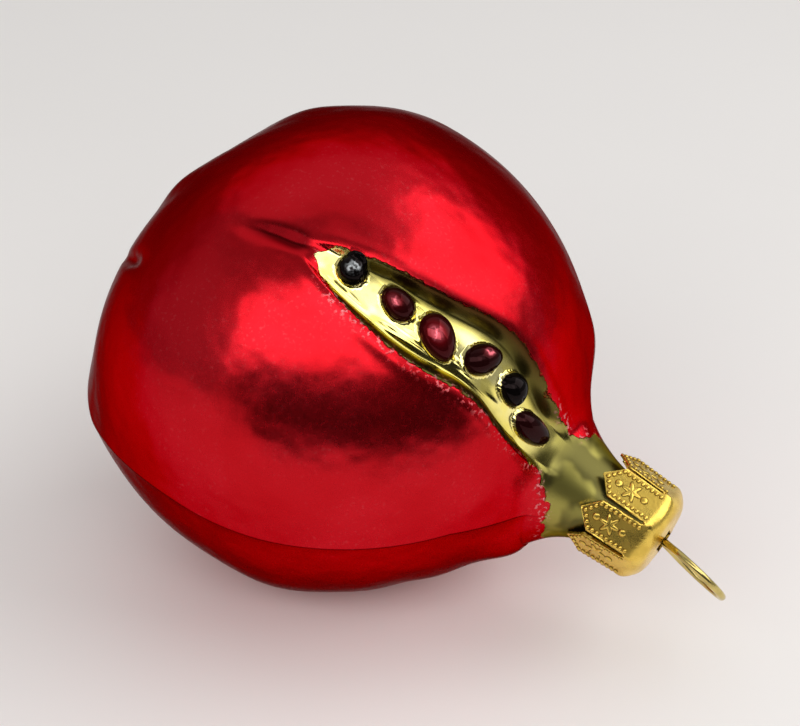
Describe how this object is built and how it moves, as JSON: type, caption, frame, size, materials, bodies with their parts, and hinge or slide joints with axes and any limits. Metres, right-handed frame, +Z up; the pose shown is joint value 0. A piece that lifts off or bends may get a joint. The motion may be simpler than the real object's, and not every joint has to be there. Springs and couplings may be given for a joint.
{
  "type": "pomegranate-shaped blown glass ornament",
  "caption": "Hollow blown glass bauble shaped like an opened pomegranate, red outside with a gold seed-filled split, a pressed metal cap and a wire loop to hang it by.",
  "frame": {"origin": "on the resting surface, under the middle of the ornament's bounding box", "axes": "+Z up; +X along the ornament's length toward its neck, cap and hanging loop, which point slightly downward"},
  "size_m": [0.1034, 0.076, 0.0745],
  "materials": {
    "lacquered_glass": "satin metallic lacquer over silvered glass",
    "gilt_cap": "pressed, bright gilt",
    "gilt_wire": "polished, slightly tarnished gilt"
  },
  "bodies": {
    "root": {"glass_body": "lacquered_glass", "cap": "gilt_cap", "hanger": "gilt_wire"}
  },
  "joints": []
}
